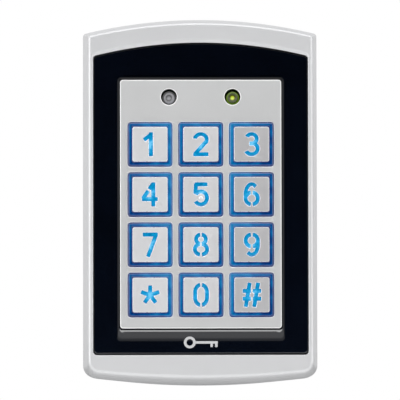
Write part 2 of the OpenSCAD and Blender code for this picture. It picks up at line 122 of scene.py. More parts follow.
FACE_D = HOUSING.front
INNER_D = FACE_D - FRONT_WALL
BEZEL_D = FACE_D - BEZEL_RECESS
WINDOW_HW = BEZEL.right - FLANGE_OUT
WINDOW_TOP = BEZEL.top - FLANGE_OUT
WINDOW_BOTTOM = BEZEL.bottom + FLANGE_OUT

CAPS = {key: mm_box(f"key_cap_{key}") for key in KEYS}
CENTRES = {key: ((b.left + b.right) / 2, (b.bottom + b.top) / 2) for key, b in CAPS.items()}
LENSES = {key: mm_box(f"key_lens_{key}") for key in KEYS}
CAP = CAPS["1"]
CAP_W, CAP_H = CAP.right - CAP.left, CAP.top - CAP.bottom
KEY_W = LENSES["1"].right - LENSES["1"].left - 2 * LENS_FLANGE
KEY_H = LENSES["1"].top - LENSES["1"].bottom - 2 * LENS_FLANGE
RIM_D = PLATE.front + RIM_H

# ---- Outlines: lists of (x, z), counter-clockwise seen from the front ----


def arc(cx, cz, r, start, end, steps):
    """Points on a circle from one angle to another, without the last one."""
    angles = [math.radians(start + (end - start) * i / steps) for i in range(steps)]
    return [(cx + r * math.cos(a), cz + r * math.sin(a)) for a in angles]


def straight(a, b, steps):
    """Points on a line, without the last one."""
    return [(a[0] + (b[0] - a[0]) * i / steps, a[1] + (b[1] - a[1]) * i / steps) for i in range(steps)]


def arched(hw, top, bottom, top_r, bottom_r, top_corner, bottom_corner, cx=0.0, steps=(8, 48, 12)):
    """Outline with straight sides and an arched top and bottom; a radius of 0 gives a straight edge.

    steps are the points on a corner, on the top or bottom, and on a side.
    """
    corner, across, up = steps

    def ends(edge, r, k, sign):
        if r == 0:
            return edge - sign * k, 90.0
        cz = edge - sign * (r - math.sqrt((r - k) ** 2 - (hw - k) ** 2))
        return cz, math.degrees(math.atan2(sign * (cz - edge) + r, hw - k))

    top_z, top_a = ends(top, top_r, top_corner, 1)
    low_z, low_a = ends(bottom, bottom_r, bottom_corner, -1)
    pts = arc(hw - top_corner, top_z, top_corner, 0, top_a, corner)
    if top_r:
        pts += arc(0, top - top_r, top_r, top_a, 180 - top_a, across)
    else:
        pts += straight((hw - top_corner, top), (top_corner - hw, top), across)
    pts += arc(top_corner - hw, top_z, top_corner, 180 - top_a, 180, corner)
    pts += straight((-hw, top_z), (-hw, low_z), up)
    pts += arc(bottom_corner - hw, low_z, bottom_corner, 180, 180 + low_a, corner)
    if bottom_r:
        pts += arc(0, bottom + bottom_r, bottom_r, 180 + low_a, 360 - low_a, across)
    else:
        pts += straight((bottom_corner - hw, bottom), (hw - bottom_corner, bottom), across)
    pts += arc(hw - bottom_corner, low_z, bottom_corner, 360 - low_a, 360, corner)
    pts += straight((hw, low_z), (hw, top_z), up)
    return [(x + cx, z) for x, z in pts]


def rect(w, h, r, cx=0.0, cz=0.0, steps=(8, 1, 1)):
    """Rectangle with round corners."""
    return arched(w / 2, cz + h / 2, cz - h / 2, 0, 0, r, r, cx, steps)


def circle(r, cx=0.0, cz=0.0, steps=48):
    return arc(cx, cz, r, 0, 360, steps)


def body_outline(depth, inset, low=None):
    """Outline of the housing at a depth, moved in; its bottom leans, then rolls up to the face.

    low is how far the bottom moves in, if not as far as the rest.
    """
    t = min(depth / (FACE_D - FRONT_R), 1.0)
    ix = DRAFT_X * t + inset
    iz = DRAFT_TOP * t + inset
    rolled = max(min(depth, FACE_D) - FACE_D + ROLL_D, 0.0) / ROLL_D
    lean = BOTTOM_LEAN * depth / FACE_D
    roll = (DRAFT_BOTTOM + FRONT_R - BOTTOM_LEAN) * (1 - math.sqrt(1 - rolled ** 2))
    bottom = HOUSING.bottom + lean + roll + (inset if low is None else low)
    return arched(
        HOUSING.right - ix, HOUSING.top - iz, bottom, TOP_ARC_R - iz,
        BOTTOM_ARC_R + (FRONT_BOTTOM_ARC_R - BOTTOM_ARC_R) * t - inset,
        max(TOP_CORNER_R - inset, 0.6), max(BOTTOM_CORNER_R - inset, 0.6))


def window_outline(grow, up=None, down=None):
    """Outline of the housing's window, grown; up and down are for a top or bottom that grows otherwise."""
    r = WINDOW_R + max(grow, 0.0)
    top = WINDOW_TOP + (grow if up is None else up)
    bottom = WINDOW_BOTTOM - (grow if down is None else down)
    return arched(WINDOW_HW + grow, top, bottom, BEZEL_ARC_R + grow, 0, r, r)


def lip_outline(i):
    """The window where its rounded lip stands out by i; at the top, the lip is a long slope."""
    rise = math.sqrt(max(1 - (1 - i / LIP_R) ** 2, 0.0))
    return window_outline(i, LIP_TOP * rise)


def inset(points, s):
    """The outline moved to its left by s: inwards if it runs counter-clockwise."""
    moved = []
    n = len(points)
    for i in range(n):
        before, here, after = (Vector(points[j]) for j in (i - 1, i, (i + 1) % n))
        u = (here - before).normalized()
        v = (after - here).normalized()
        left = Vector((-u.y - v.y, u.x + v.x))
        if left.length < 1e-6:
            left = Vector((-u.y, u.x))
        left.normalize()
        reach = s / max(left.dot(Vector((-v.y, v.x))), 0.5)
        moved.append((here.x + left.x * reach, here.y + left.y * reach))
    return moved


def inside(p, loop):
    """Whether a point lies in an outline."""
    odd = False
    for (x0, z0), (x1, z1) in zip(loop, loop[1:] + loop[:1]):
        if (z0 > p[1]) != (z1 > p[1]) and p[0] < (x1 - x0) * (p[1] - z0) / (z1 - z0) + x0:
            odd = not odd
    return odd


# ---- Mesh building ----

SHARP_DEG = 35.0


def ring(bm, points, depth):
    return [bm.verts.new((x, -depth, z)) for x, z in points]


def bridge(bm, a, b, mat=0):
    """Quads between two rings of as many points."""
    n = len(a)
    for i in range(n):
        j = (i + 1) % n
        bm.faces.new((a[i], a[j], b[j], b[i])).material_index = mat


def fill(bm, loops, mat=0):
    """Triangles over the flat region that the first loop bounds and the others pierce."""
    verts = [v for loop in loops for v in loop]
    edges = []
    for loop in loops:
        first = len(edges)
        n = len(loop)
        edges += [(first + i, first + (i + 1) % n) for i in range(n)]
    outlines = [[(v.co.x, v.co.z) for v in loop] for loop in loops]
    flat = [Vector(p) for outline in outlines for p in outline]
    points, _, triangles, source, _, _ = delaunay_2d_cdt(flat, edges, [], 0, 1e-6)
    y = verts[0].co.y
    corners = [verts[found[0]] if found else bm.verts.new((p.x, y, p.y))
               for p, found in zip(points, source)]
    for triangle in triangles:
        centre = sum((points[i] for i in triangle), Vector((0, 0))) / 3
        if sum(inside(centre, outline) for outline in outlines) % 2:
            bm.faces.new([corners[i] for i in triangle]).material_index = mat


def stack(bm, levels, closed=False):
    """Skin through outlines: [(points, depth, material of the band after it), ...].

    closed joins the last outline to the first; otherwise both ends are filled.
    """
    rings = [ring(bm, level[0], level[1]) for level in levels]
    mats = [level[2] if len(level) > 2 else 0 for level in levels]
    for i in range(len(rings) - 1):
        bridge(bm, rings[i], rings[i + 1], mats[i])
    if closed:
        bridge(bm, rings[-1], rings[0], mats[-1])
    else:
        fill(bm, [rings[0]], mats[0])
        fill(bm, [rings[-1]], mats[-1])


def slab(bm, contours, back, front, edge=0.0, back_edge=0.0, steps=3, mats=(0, 0, 0)):
    """Plate between two depths: an outer contour and its holes, with rounded front and back edges.

    mats are the materials of the faces, the rounded edges and the walls.
    """
    angles = [math.radians(90 * i / steps) for i in range(steps + 1)]
    starts, ends = [], []
    for k, contour in enumerate(contours):
        side = 1 if k == 0 else -1
        lower = upper = [(0.0, 0.0)]
        if back_edge:
            lower = [(back_edge * (1 - math.sin(a)), back_edge * (1 - math.cos(a))) for a in angles]
        if edge:
            upper = [(edge * (1 - math.cos(a)), edge * (1 - math.sin(a))) for a in angles]
        levels = [(i, back + d) for i, d in lower] + [(i, front - d) for i, d in upper]
        rings = [ring(bm, inset(contour, side * i) if i else contour, d) for i, d in levels]
        for i in range(len(rings) - 1):
            bridge(bm, rings[i], rings[i + 1], mats[2 if i == len(lower) - 1 else 1])
        starts.append(rings[0])
        ends.append(rings[-1])
    fill(bm, starts, mats[0])
    fill(bm, ends, mats[0])


def union(polygons):
    """Loops round the area that overlapping polygons cover; outer loops run counter-clockwise."""
    flat, faces = [], []
    for polygon in polygons:
        faces.append(list(range(len(flat), len(flat) + len(polygon))))
        flat += [Vector(p) for p in polygon]
    points, _, triangles, _, _, _ = delaunay_2d_cdt(flat, [], faces, 0, 1e-4)
    directed = set()
    for t in triangles:
        centre = sum((points[i] for i in t), Vector((0, 0))) / 3
        if any(inside(centre, polygon) for polygon in polygons):
            a, b, c = (points[i] for i in t)
            turn = (b - a).cross(c - a)
            t = t if turn > 0 else t[::-1]
            directed |= {(t[i], t[(i + 1) % 3]) for i in range(3)}
    following = {a: b for a, b in directed if (b, a) not in directed}
    loops = []
    while following:
        start = min(following)
        loop, here = [], start
        while here in following:
            loop.append(here)
            here = following.pop(here)
        kept = []
        for i in loop:
            p = points[i]
            if not kept or (p - Vector(kept[-1])).length > 0.03:
                kept.append((p.x, p.y))
        loops.append(kept)
    return loops


def area(loop):
    return sum(x0 * z1 - x1 * z0 for (x0, z0), (x1, z1) in zip(loop, loop[1:] + loop[:1])) / 2


def mesh_object(name, build, merge=True):
    """A mesh that build(bm) makes in millimetres, as an object in metres."""
    bm = bmesh.new()
    build(bm)
    if merge:
        bmesh.ops.remove_doubles(bm, verts=bm.verts, dist=1e-5)
    bmesh.ops.recalc_face_normals(bm, faces=bm.faces)
    bmesh.ops.scale(bm, verts=bm.verts, vec=(MM, MM, MM))
    mesh = bpy.data.meshes.new(name)
    bm.to_mesh(mesh)
    bm.free()
    obj = bpy.data.objects.new(name, mesh)
    bpy.context.scene.collection.objects.link(obj)
    return obj


def shade(obj):
    """Smooth shading that keeps edges sharp, and flat faces flat."""
    for face in obj.data.polygons:
        face.use_smooth = True
    obj.data.set_sharp_from_angle(angle=math.radians(SHARP_DEG))
    modifier = obj.modifiers.new("even_normals", "WEIGHTED_NORMAL")
    modifier.keep_sharp = True
    modifier.weight = 80


def piece(name, body, build, materials, node, at=(0.0, 0.0)):
    """Makes a mesh with build(bm), and sets it at (x, z) on a body in place of a CAD node."""
    obj = mesh_object(name, build)
    for material in materials:
        obj.data.materials.append(material)
    shade(obj)
    obj.location = (at[0] * MM, 0, at[1] * MM)
    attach(obj, body)
    if node:
        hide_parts(node)
    return obj


# ---- Materials ----


def nodes_of(name):
    material = bpy.data.materials.new(name)
    material.use_nodes = True
    tree = material.node_tree
    return material, tree, tree.nodes["Principled BSDF"]


def noise(tree, scale, stretch=(1, 1, 1), detail=4.0):
    """Noise over the piece's own coordinates, whose scale is in waves per metre."""
    place = tree.nodes.new("ShaderNodeTexCoord")
    mapping = tree.nodes.new("ShaderNodeMapping")
    mapping.inputs["Scale"].default_value = stretch
    texture = tree.nodes.new("ShaderNodeTexNoise")
    texture.inputs["Scale"].default_value = scale
    texture.inputs["Detail"].default_value = detail
    tree.links.new(place.outputs["Object"], mapping.inputs["Vector"])
    tree.links.new(mapping.outputs["Vector"], texture.inputs["Vector"])
    return texture.outputs["Fac"]


def ramp(tree, factor, stops):
    """Colours along a factor: [(place, (red, green, blue) or (red, green, blue, alpha)), ...]."""
    node = tree.nodes.new("ShaderNodeValToRGB")
    elements = node.color_ramp.elements
    elements[0].position, elements[1].position = stops[0][0], stops[-1][0]
    for place, _ in stops[1:-1]:
        elements.new(place)
    for element, (_, color) in zip(elements, stops):
        element.color = color if len(color) == 4 else (*color, 1)
    tree.links.new(factor, node.inputs["Fac"])
    return node.outputs["Color"]


def between(tree, factor, low, high, start=0.3, end=0.7):
    """Maps a factor from start..end to low..high."""
    node = tree.nodes.new("ShaderNodeMapRange")
    node.inputs["From Min"].default_value = start
    node.inputs["From Max"].default_value = end
    node.inputs["To Min"].default_value = low
    node.inputs["To Max"].default_value = high
    tree.links.new(factor, node.inputs["Value"])
    return node.outputs["Result"]


def bump(tree, bsdf, height, distance):
    node = tree.nodes.new("ShaderNodeBump")
    node.inputs["Distance"].default_value = distance
    node.inputs["Strength"].default_value = 1.0
    tree.links.new(height, node.inputs["Height"])
    tree.links.new(node.outputs["Normal"], bsdf.inputs["Normal"])


def surface(name, color, rough, metallic=0.0, spread=0.04, rough_spread=0.06, cloud=60.0, grain=2500.0,
            stretch=(1, 1, 1), depth=4e-6, coat=0.0, coat_rough=0.05):
    """Finish with a broad colour variation, a grain that varies the roughness, and a fine relief."""
    material, tree, bsdf = nodes_of(name)
    bsdf.inputs["Metallic"].default_value = metallic
    bsdf.inputs["Coat Weight"].default_value = coat
    bsdf.inputs["Coat Roughness"].default_value = coat_rough
    dark = tuple(c * (1 - spread) for c in color)
    light = tuple(min(c * (1 + spread), 1.0) for c in color)
    tint = ramp(tree, noise(tree, cloud), [(0.3, dark), (0.7, light)])
    tree.links.new(tint, bsdf.inputs["Base Color"])
    fine = noise(tree, grain, stretch)
    uneven = between(tree, fine, rough - rough_spread, rough + rough_spread)
    tree.links.new(uneven, bsdf.inputs["Roughness"])
    bump(tree, bsdf, fine, depth)
    return material


PAINT = surface("housing_paint", (0.56, 0.564, 0.572), 0.40, metallic=0.3, spread=0.012, grain=3200,
                depth=6e-6, coat=0.4, coat_rough=0.42)
GLOSS = surface("bezel_gloss", (0.0012, 0.0022, 0.0050), 0.07, spread=0.2, rough_spread=0.02, grain=900,
                depth=2e-7)
PLATE_METAL = surface("plate_metal", (0.605, 0.61, 0.61), 0.50, metallic=0.75, spread=0.02, grain=700,
                      stretch=(14, 14, 1), depth=1.5e-6)
# The plate's rounded edges are smoother than its face and much lighter in colour; the lighter colour is a
# painted highlight.
PLATE_EDGE_HIGHLIGHT = surface("plate_edge", (0.84, 0.84, 0.84), 0.36, metallic=0.6, spread=0.01, grain=1500,
                     depth=1e-6)
# Lit and shaded copies of one cap metal, one for each column: the lighter left column and the darker right
# column are painted light and painted shade.
CAP_PAINTED_LIGHT_COLOURS = {"left": (0.84, 0.845, 0.86), "middle": (0.80, 0.80, 0.815), "right": (0.61, 0.605, 0.615)}
CAP_METAL_PAINTED_LIGHT = [surface(f"cap_metal_{side}", color, 0.45, metallic=0.8, spread=0.025, grain=900,
                     stretch=(12, 12, 1), depth=1.2e-6)
             for side, color in CAP_PAINTED_LIGHT_COLOURS.items()]
# The caps' rounded edges are near white: a painted highlight.
CAP_EDGE_HIGHLIGHT = surface("cap_edge_highlight", (0.99, 0.99, 1.0), 0.3, metallic=0.6, spread=0.01, grain=1500, depth=8e-7)
MARK = surface("bezel_mark", (0.50, 0.505, 0.51), 0.5, spread=0.05, grain=4000, depth=2e-6)
STEEL = surface("wall_plate_steel", (0.56, 0.58, 0.60), 0.38, metallic=1.0, spread=0.14, rough_spread=0.1,
                cloud=260, grain=500, depth=3e-6)
STEEL_EDGE = surface("wall_plate_edge", (0.5, 0.51, 0.53), 0.45, metallic=1.0, spread=0.1, grain=1500)
SCREW = surface("security_steel", (0.62, 0.62, 0.63), 0.25, metallic=1.0, spread=0.04, grain=1600,
                depth=1e-6)
RUBBER = surface("rubber_black", (0.018, 0.018, 0.019), 0.62, spread=0.2, grain=2600, depth=1e-5)

# The CAD nodes that stay as they are, each with its finish.
INNER = {
    "main_board": surface("board_green", (0.012, 0.105, 0.035), 0.32, spread=0.35, cloud=420, grain=1300,
                          depth=8e-6, coat=0.6),
    "switch_bodies": surface("switch_black", (0.012, 0.012, 0.013), 0.45, spread=0.2),
    "backlight_leds": surface("led_white", (0.80, 0.80, 0.72), 0.4, spread=0.05, cloud=500),
    "antenna_coil": surface("coil_copper", (0.46, 0.16, 0.055), 0.28, metallic=1.0, spread=0.25, cloud=200,
                            grain=600, stretch=(1, 9, 1), depth=3e-5, coat=0.7),
    "controller_chips": surface("chip_black", (0.016, 0.016, 0.018), 0.5, spread=0.2, grain=4000,
                                depth=8e-6),
    "lock_relay": surface("relay_blue", (0.010, 0.045, 0.22), 0.3, spread=0.1, coat=0.3),
    "buzzer": surface("buzzer_black", (0.012, 0.012, 0.012), 0.5, spread=0.2, depth=8e-6),
    "capacitors": surface("capacitor_sleeve", (0.60, 0.61, 0.63), 0.28, metallic=1.0, spread=0.04,
                          stretch=(1, 12, 1)),
    "wiring_header": surface("header_ivory", (0.70, 0.66, 0.53), 0.5, spread=0.06),
    "tamper_sensor": surface("sensor_tan", (0.42, 0.27, 0.12), 0.6, spread=0.2, cloud=900),
    "rear_cover": surface("cover_grey", (0.018, 0.020, 0.022), 0.55, spread=0.15, grain=2200,
                          depth=1.5e-5),
    "cover_screws": surface("screw_steel", (0.52, 0.52, 0.54), 0.32, metallic=1.0, spread=0.08, cloud=500),
    "plate_tape": surface("tape_grey", (0.06, 0.06, 0.065), 0.8, spread=0.15, grain=3000, depth=8e-6),
}
INNER["board_screws"] = INNER["cover_screws"]
PLUNGER = surface("plunger_black", (0.02, 0.02, 0.022), 0.4, spread=0.2)


def math_node(tree, operation, a, b=None):
    node = tree.nodes.new("ShaderNodeMath")
    node.operation = operation
    for socket, value in zip(node.inputs, (a, b)):
        if isinstance(value, (int, float)):
            socket.default_value = value
        elif value:
            tree.links.new(value, socket)
    return node.outputs[0]


def place_on_key(tree):
    """The piece's own coordinates, measured from the middle of its key or lamp, and its x and z."""
    place = tree.nodes.new("ShaderNodeTexCoord").outputs["Object"]
    split = tree.nodes.new("ShaderNodeSeparateXYZ")
    tree.links.new(place, split.inputs[0])
    return place, split.outputs["X"], split.outputs["Z"]


def distance_from(tree, x, z):
    """Distance in millimetres, on the front view, from a point of the piece's own."""
    mapping = tree.nodes.new("ShaderNodeMapping")
    mapping.inputs["Scale"].default_value = (1 / MM, 0, 1 / MM)
    mapping.inputs["Location"].default_value = (-x, 0, -z)
    tree.links.new(place_on_key(tree)[0], mapping.inputs["Vector"])
    far = tree.nodes.new("ShaderNodeVectorMath")
    far.operation = "LENGTH"
    tree.links.new(mapping.outputs["Vector"], far.inputs[0])
    return far.outputs["Value"]


def shine(tree, bsdf, color, base, rough, coat_rough=0.06):
    """Makes the shader give off a colour under a clear glossy surface."""
    tree.links.new(color, bsdf.inputs["Emission Color"])
    bsdf.inputs["Emission Strength"].default_value = 1.0
    bsdf.inputs["Base Color"].default_value = (*base, 1)
    bsdf.inputs["Coat Weight"].default_value = 1.0
    bsdf.inputs["Coat Roughness"].default_value = coat_rough
    fine = noise(tree, 1500)
    tree.links.new(between(tree, fine, rough - 0.04, rough + 0.06), bsdf.inputs["Roughness"])
    bump(tree, bsdf, fine, 1.5e-6)


NAVY = (0.0, 0.018, 0.13)
DEEP = (0.0, 0.055, 0.24)
BLUE = (0.0, 0.14, 0.385)
SKY = (0.02, 0.26, 0.55)
RING_INNER = 0.81


def lens_glow(name, lean):
    """Lit translucent plastic, with a painted highlight along the middle of its rim, and painted light
    that makes it brighter at the top and to one side.

    lean is how much brighter its left side is, as painted light.
    """
    material, tree, bsdf = nodes_of(name)
    _, x, z = place_on_key(tree)
    across, up = math_node(tree, "ABSOLUTE", x), math_node(tree, "ABSOLUTE", z)
    half = KEY_W / 2 * MM
    out = math_node(tree, "MAXIMUM", across, up)
    # Painted highlight: the glow is brightest along the middle of the rim.
    middle = math_node(tree, "ABSOLUTE", between(tree, out, -1.0, 1.0, RING_INNER * half, half))
    level = between(tree, middle, 0.62, 0.18, 0.0, 1.0)
    # Painted light: brighter to one side and towards the top.
    level = math_node(tree, "ADD", level, between(tree, x, -lean, lean, -half, half))
    level = math_node(tree, "ADD", level, between(tree, z, -0.10, 0.10, -half, half))
    level = math_node(tree, "ADD", level, between(tree, noise(tree, 330, detail=2.0), -0.2, 0.2))
    corner = math_node(tree, "MINIMUM", across, up)
    level = math_node(tree, "SUBTRACT", level, between(tree, corner, 0.0, 0.3, 0.8 * half, half))
    glow = ramp(tree, level, [(0.08, NAVY), (0.3, DEEP), (0.55, BLUE), (0.95, SKY)])
    shine(tree, bsdf, glow, (0.0, 0.004, 0.012), 0.10)
    return material


# One copy of the lens for each column, brighter on its left or right side: painted light.
LENS_PAINTED_LEANS = {"left": 0.2, "middle": 0.0, "right": -0.2}
LENS = [lens_glow(f"lens_blue_{side}", lean) for side, lean in LENS_PAINTED_LEANS.items()]


def symbol_glow():
    """Light that shows through a symbol: brightest round the middle of the key."""
    material, tree, bsdf = nodes_of("symbol_glow")
    level = between(tree, distance_from(tree, -0.2, -0.2), 0.9, 0.3, 0.4, 3.4)
    level = math_node(tree, "ADD", level, between(tree, noise(tree, 700, detail=2.0), -0.28, 0.28))
    glow = ramp(tree, level, [(0.0, (0.001, 0.14, 0.32)), (0.4, (0.0, 0.25, 0.53)),
                              (0.72, (0.02, 0.36, 0.70)), (1.05, (0.17, 0.60, 0.92))])
    shine(tree, bsdf, glow, (0.0, 0.03, 0.06), 0.18)
    return material


SYMBOL = symbol_glow()
LAMP_REACH = 3.0


def lamp(name, cup, rim):
    """An LED seen end on: its reflector cup just below the middle, and the dome's rim in painted shadow,
    darkest at the top, with a painted highlight.

    cup and rim are colour stops over the distance from the cup, which is 1 at LAMP_REACH; rim's colours
    have an alpha, and lie on top.
    """
    material, tree, bsdf = nodes_of(name)
    uneven = between(tree, noise(tree, 900, detail=2.0), -0.12, 0.12)
    near = math_node(tree, "ADD", distance_from(tree, 0.0, -0.35), uneven)
    color = ramp(tree, between(tree, near, 0.0, 1.0, 0.0, LAMP_REACH), cup)
    # Painted shadow: the rim's ring is centred below the cup, so it runs darkest at the top.
    far = distance_from(tree, 0.12, -0.42)
    over = ramp(tree, between(tree, far, 0.0, 1.0, 0.0, LAMP_REACH), rim)
    mix = tree.nodes.new("ShaderNodeMix")
    mix.data_type = "RGBA"
    tree.links.new(over.node.outputs["Alpha"], mix.inputs["Factor"])
    tree.links.new(color, mix.inputs["A"])
    tree.links.new(over, mix.inputs["B"])
    shine(tree, bsdf, mix.outputs["Result"], (0.01, 0.01, 0.01), 0.15, 0.04)
    return material


# ---- Symbols of the keys ----


def bar(a, b, s=0.0, r=0.28):
    """A straight stroke with softly rounded ends, made narrower and shorter by s."""
    start, end = Vector(a), Vector(b)
    u = (end - start).normalized()
    turn = math.degrees(math.atan2(u.y, u.x))
    hw, length = STROKE / 2 - s, (end - start).length - 2 * s
    base = rect(length, 2 * hw, min(r, hw * 0.98), steps=(4, 1, 1))
    spin = Matrix.Rotation(math.radians(turn), 2)
    mid = (start + end) / 2
    return [tuple(spin @ Vector(p) + mid) for p in base]


def bow(centre, radii, start, end, s=0.0):
    """A curved stroke along an ellipse, made narrower and shorter by s."""
    way = 1 if end > start else -1
    trim = way * math.degrees(s / min(radii))
    a0, a1, h = start + trim, end - trim, STROKE / 2 - s
    steps = math.ceil(abs(a1 - a0) / 6)
    angles = [math.radians(a0 + (a1 - a0) * i / steps) for i in range(steps + 1)]
    outer, inner = ([(centre[0] + (radii[0] + e) * math.cos(a), centre[1] + (radii[1] + e) * math.sin(a))
                     for a in angles] for e in (h, -h))
    loop = outer + inner[::-1]
    return loop if way > 0 else loop[::-1]


# Strokes of each symbol, from the middle of its key: straight ones from end to end, and curved ones with
# their centre, radii and angles. TOP is the height of the middle of a stroke along the top.
TOP = SYMBOL_H / 2 - STROKE / 2
RIGHT_HALF = (BRIDGE_DEG - 90, 90 - BRIDGE_DEG)
LEFT_HALF = (90 + BRIDGE_DEG, 270 - BRIDGE_DEG)
SIX = [(bow, (0, -1.3), (1.95, TOP - 1.3), *RIGHT_HALF), (bow, (0, -1.3), (1.95, TOP - 1.3), *LEFT_HALF),
       (bow, (0, 0), (1.95, TOP), 48, 190)]
STROKES = {
    "0": [stroke for side in (-1, 1) for stroke in (
        (bow, (0, 0.9), (1.9, TOP - 0.9), 90 - side * 90, 90 - side * BRIDGE_DEG),
        (bow, (0, -0.9), (1.9, TOP - 0.9), side * 90 - 90, side * BRIDGE_DEG - 90),
        (bar, (side * 1.9, -1.3), (side * 1.9, 1.3)))],
    "1": [(bar, (0.3, -3.9), (0.3, 3.9)), (bar, (0.55, 3.3), (-1.95, 1.35))],
    "2": [(bow, (0, 1.5), (1.9, TOP - 1.5), 172, -38), (bar, (1.75, 0.85), (-1.85, -3.1)),
          (bar, (-2.45, -TOP), (2.5, -TOP))],
    "3": [(bow, (0, 1.7), (1.65, TOP - 1.7), 155, -80), (bow, (0, -1.45), (1.95, TOP - 1.45), 80, -155),
          (bar, (-0.7, 0.2), (0.6, 0.2))],
    "4": [(bar, (1.1, 3.6), (-0.25, 1.63)), (bar, (-0.55, 1.19), (-2.3, -1.35)),
          (bar, (-2.65, -1.5), (2.5, -1.5)), (bar, (1.05, -3.9), (1.05, 3.9))],
    "5": [(bar, (-1.95, TOP), (2.15, TOP)), (bar, (-1.55, 3.6), (-1.75, 0.1)),
          (bow, (0, -1.15), (1.95, TOP - 1.15), 148, -150)],
    "6": SIX,
    "7": [(bar, (-2.4, TOP), (2.5, TOP)), (bar, (1.95, 3.3), (-0.7, -3.9))],
    "8": [(bow, (0, z), (r, TOP - abs(z)), *half) for z, r in ((1.7, 1.55), (-1.5, 1.95))
          for half in (RIGHT_HALF, LEFT_HALF)],
    "9": SIX,
    "star": [(bar, (0, 0), (3.1 * math.cos(math.radians(a)), 3.1 * math.sin(math.radians(a))))
             for a in range(90, 450, 72)],
    "hash": [stroke for side in (-1, 1) for stroke in (
        (bar, (side * 1.35 - 0.65, -3.9), (side * 1.35 + 0.65, 3.9)),
        (bar, (side * 3, side * 1.25), (side * 0.25, side * 1.25)),
        (bar, (-side * 3, side * 1.25), (-side * 0.25, side * 1.25)))],
}


def symbol_loops(key, s):
    """Loops of a key's symbol, made narrower by s all round."""
    turn = -1 if key == "9" else 1
    polygons = []
    for shape, *values in STROKES[key]:
        points = [(turn * x, turn * z) for x, z in shape(*values, s)]
        polygons.append(points if area(points) > 0 else points[::-1])
    return [loop if area(loop) > 0 else loop[::-1] for loop in union(polygons)]


# ---- Casing ----


def rounding(points_at, depth, r, steps):
    """Outlines round a quarter turn: points_at(inset) at each depth below a face."""
    levels = []
    for i in range(steps + 1):
        a = math.radians(90 * i / steps)
        levels.append((points_at(r * (1 - math.cos(a))), depth - r * (1 - math.sin(a))))
    return levels


def build_housing(bm):
    """The shell's whole cross-section: its side, front edge, face, lip, window, and inside wall."""
    fillet = 0.8
    chamfer = 0.3
    side_steps = 24
    round_steps = 12
    side_d = FACE_D - FRONT_R
    fillet_d = INNER_D - fillet
    sides = [BACK_R + (side_d - BACK_R) * i / side_steps for i in range(side_steps)]
    walls = [fillet_d - (fillet_d - chamfer) * i / side_steps for i in range(side_steps + 1)]
    levels = [(body_outline(0.0, BACK_R), 0.0), (body_outline(0.08, 0.07), 0.08)]
    levels += [(body_outline(d, 0.0), d) for d in sides]
    for i in range(round_steps + 1):
        a = math.radians(90 * i / round_steps)
        d = side_d + FRONT_R * math.sin(a)
        levels.append((body_outline(d, FRONT_R * (1 - math.cos(a)), 0.0), d))
    levels += rounding(lip_outline, FACE_D, LIP_R, 6)[::-1]
    levels += [(window_outline(0.0), INNER_D)]
    levels += [(body_outline(INNER_D, WALL + fillet), INNER_D),
               (body_outline(INNER_D, WALL + 0.3 * fillet), INNER_D - 0.3 * fillet)]
    levels += [(body_outline(d, WALL), d) for d in walls]
    levels += [(body_outline(0.0, WALL - 0.2), 0.0)]
    stack(bm, levels, closed=True)


BOSSES = [(side * 30.0, z) for side in (-1, 1) for z in (50.8, -52.55)]
BOSS_R = 2.5
PILOT_R = 1.1
BOSS_BACK = mm_box("rear_cover").back + 1.6
HOOK_X = 20.0
CATCH = (9.0, 2.6, 0.3)
CATCH_Z = 55.7
SCREW_BOX = mm_box("security_screw")
SCREW_D = (SCREW_BOX.back + SCREW_BOX.front) / 2
SCREW_HEAD_R = (SCREW_BOX.right - SCREW_BOX.left) / 2
SCREW_HEAD_H = 1.4
SCREW_SHANK_R = 1.2
SEAT_Z = SCREW_BOX.bottom + SCREW_HEAD_H


def turned(bm, depth, profile):
    """Rings of a solid turned about the upright axis at x = 0: [(radius, z), ...]."""
    rings = []
    for r, z in profile:
        rings.append([bm.verts.new((x, y - depth, z)) for x, y in circle(r)])
    for a, b in zip(rings, rings[1:]):
        bridge(bm, a, b)
    return rings


def upright(bm, depth, profile):
    """A closed turned solid."""
    rings = turned(bm, depth, profile)
    bm.faces.new(rings[0])
    bm.faces.new(rings[-1])


def build_bosses(bm):
    """Screw bosses, catch ribs for the wall plate's hooks, and the security screw's seat."""
    for x, z in BOSSES:
        stack(bm, [(circle(BOSS_R, x, z), BOSS_BACK), (circle(BOSS_R, x, z), INNER_D + 0.4)])
    for side in (-1, 1):
        stack(bm, [(rect(*CATCH, side * HOOK_X, CATCH_Z), d) for d in (2.5, 4.7)])
    pad_r = SCREW_HEAD_R + 1.0
    upright(bm, SCREW_D, [(pad_r, HOUSING.bottom + WALL / 2), (pad_r, SEAT_Z + 1.0)])


def build_cuts(bm):
    """Pilot holes in the bosses, and the security screw's counterbore and hole."""
    for x, z in BOSSES:
        stack(bm, [(circle(PILOT_R, x, z), BOSS_BACK - 1), (circle(PILOT_R, x, z), BOSS_BACK + 9)])
    seat_r, hole_r = SCREW_HEAD_R + 0.2, SCREW_SHANK_R + 0.2
    upright(bm, SCREW_D, [(seat_r, HOUSING.bottom - 1), (seat_r, SEAT_Z), (hole_r, SEAT_Z),
                          (hole_r, SEAT_Z + 5)])


def combine(obj, other, operation):
    """Adds another object to the first, or cuts it away, and uses it up."""
    modifier = obj.modifiers.new(operation.lower(), "BOOLEAN")
    modifier.object = other
    modifier.operation = operation
    modifier.solver = "EXACT"
    evaluated = obj.evaluated_get(bpy.context.evaluated_depsgraph_get())
    mesh = bpy.data.meshes.new_from_object(evaluated)
    obj.modifiers.clear()
    old = obj.data
    obj.data = mesh
    bpy.data.meshes.remove(old)
    bpy.data.objects.remove(other)


